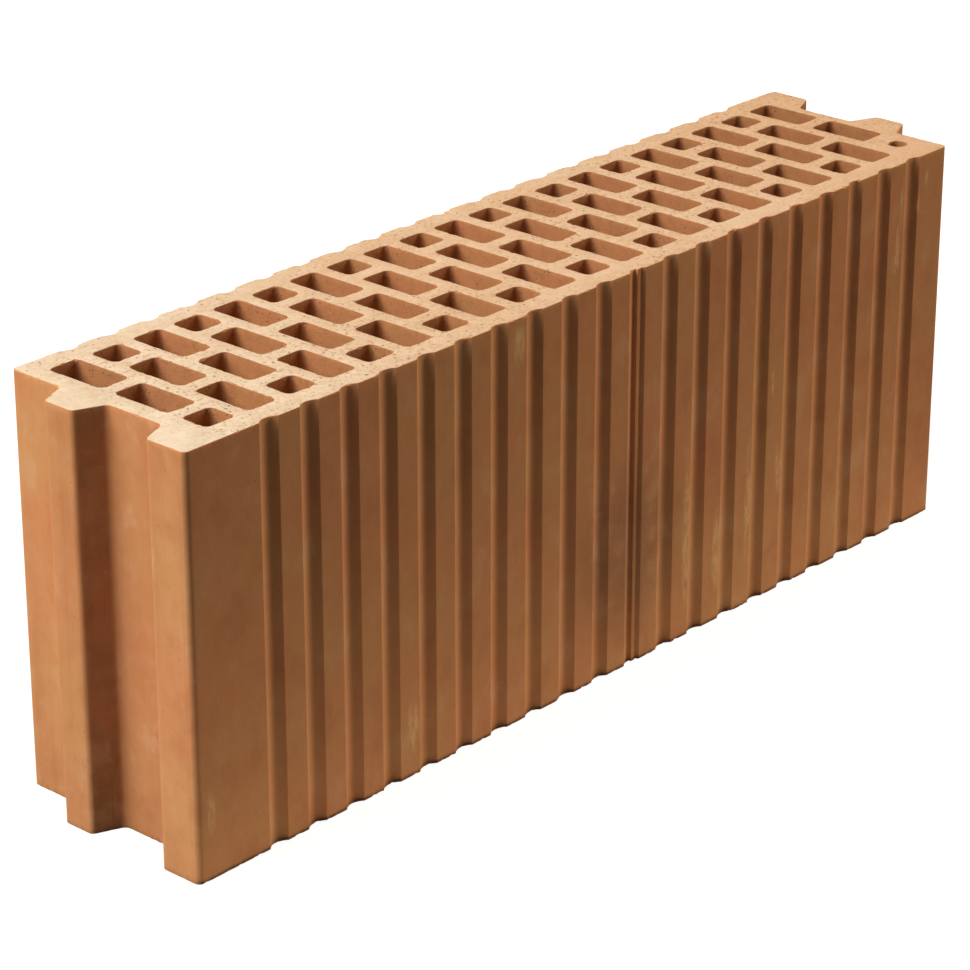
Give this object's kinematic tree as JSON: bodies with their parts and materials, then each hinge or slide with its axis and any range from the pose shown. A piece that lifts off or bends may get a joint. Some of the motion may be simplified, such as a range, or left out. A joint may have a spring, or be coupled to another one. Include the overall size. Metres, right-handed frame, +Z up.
{
  "type": "hollow clay block",
  "caption": "Vertically perforated fired-clay partition block with tongue-and-recess ends and grooved plaster faces.",
  "frame": {"origin": "middle of the underside's bounding box, on the floor", "axes": "+X along the wall, +Y through the thickness towards the back face, +Z up along the holes"},
  "size_m": [0.514, 0.115, 0.188],
  "materials": {
    "fired_clay": "matte fired clay, bed faces ground"
  },
  "bodies": {
    "root": {"clay_block": "fired_clay"}
  },
  "joints": []
}
